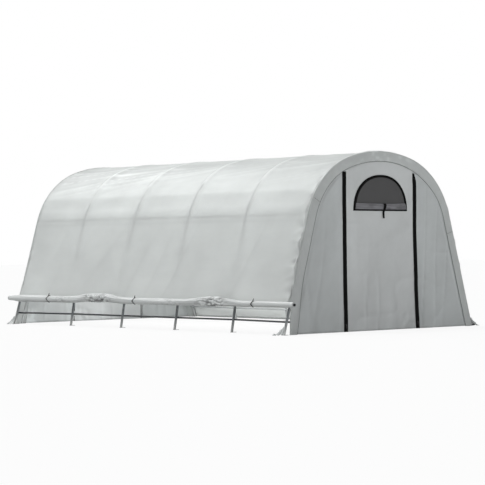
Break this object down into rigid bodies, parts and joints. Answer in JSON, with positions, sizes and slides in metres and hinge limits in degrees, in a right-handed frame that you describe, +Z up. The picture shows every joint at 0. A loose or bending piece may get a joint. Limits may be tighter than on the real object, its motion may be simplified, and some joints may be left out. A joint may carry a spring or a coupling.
{
  "type": "greenhouse",
  "caption": "Round-topped walk-in tunnel greenhouse with a bent steel tube frame, sheet cover, zipped end doors with half-moon mesh windows and a rolled-up side.",
  "frame": {"origin": "middle of the footprint, on the ground under the feet", "axes": "+Y from the front door end to the rear end along the ridge, +Z up, +X across from the rolled-up side to the let-down side"},
  "size_m": [4, 6.4666, 2.44],
  "materials": {
    "frame_tube": "satin",
    "foot_plate": "satin",
    "roll_tube": "satin",
    "cover_sheet": "satin",
    "end_sheet": "satin",
    "flap_sheet": "satin",
    "zip_tape": "matte",
    "window_mesh": "matte",
    "window_binding": "matte",
    "tie_cord": "matte"
  },
  "bodies": {
    "root": {"cover_crown": "cover_sheet", "cover_far_shoulder": "cover_sheet", "cover_far_wall": "cover_sheet", "cover_near_shoulder": "cover_sheet", "cover_near_wall": "cover_sheet", "far_bottom_rail": "frame_tube", "far_feet": "foot_plate", "far_front_tail": "cover_sheet", "far_hem_cloth": "cover_sheet", "far_hem_tube": "roll_tube", "far_purlin": "frame_tube", "far_rear_tail": "cover_sheet", "far_rib_bends": "frame_tube", "far_rib_legs": "frame_tube", "front_band": "end_sheet", "front_door_panel": "end_sheet", "front_left_panel": "end_sheet", "front_right_panel": "end_sheet", "front_window_flap": "flap_sheet", "front_window_screen": "window_mesh", "front_window_strap": "window_binding", "front_window_trim": "window_binding", "front_zips": "zip_tape", "near_bottom_rail": "frame_tube", "near_feet": "foot_plate", "near_front_tail": "cover_sheet", "near_purlin": "frame_tube", "near_rear_tail": "cover_sheet", "near_rib_bends": "frame_tube", "near_rib_legs": "frame_tube", "near_roll_cloth": "cover_sheet", "near_roll_ties": "tie_cord", "near_roll_tube": "roll_tube", "rear_band": "end_sheet", "rear_door_panel": "end_sheet", "rear_left_panel": "end_sheet", "rear_right_panel": "end_sheet", "rear_window_flap": "flap_sheet", "rear_window_screen": "window_mesh", "rear_window_strap": "window_binding", "rear_window_trim": "window_binding", "rear_zips": "zip_tape", "rib_crowns": "frame_tube", "ridge_purlin": "frame_tube"}
  },
  "joints": []
}
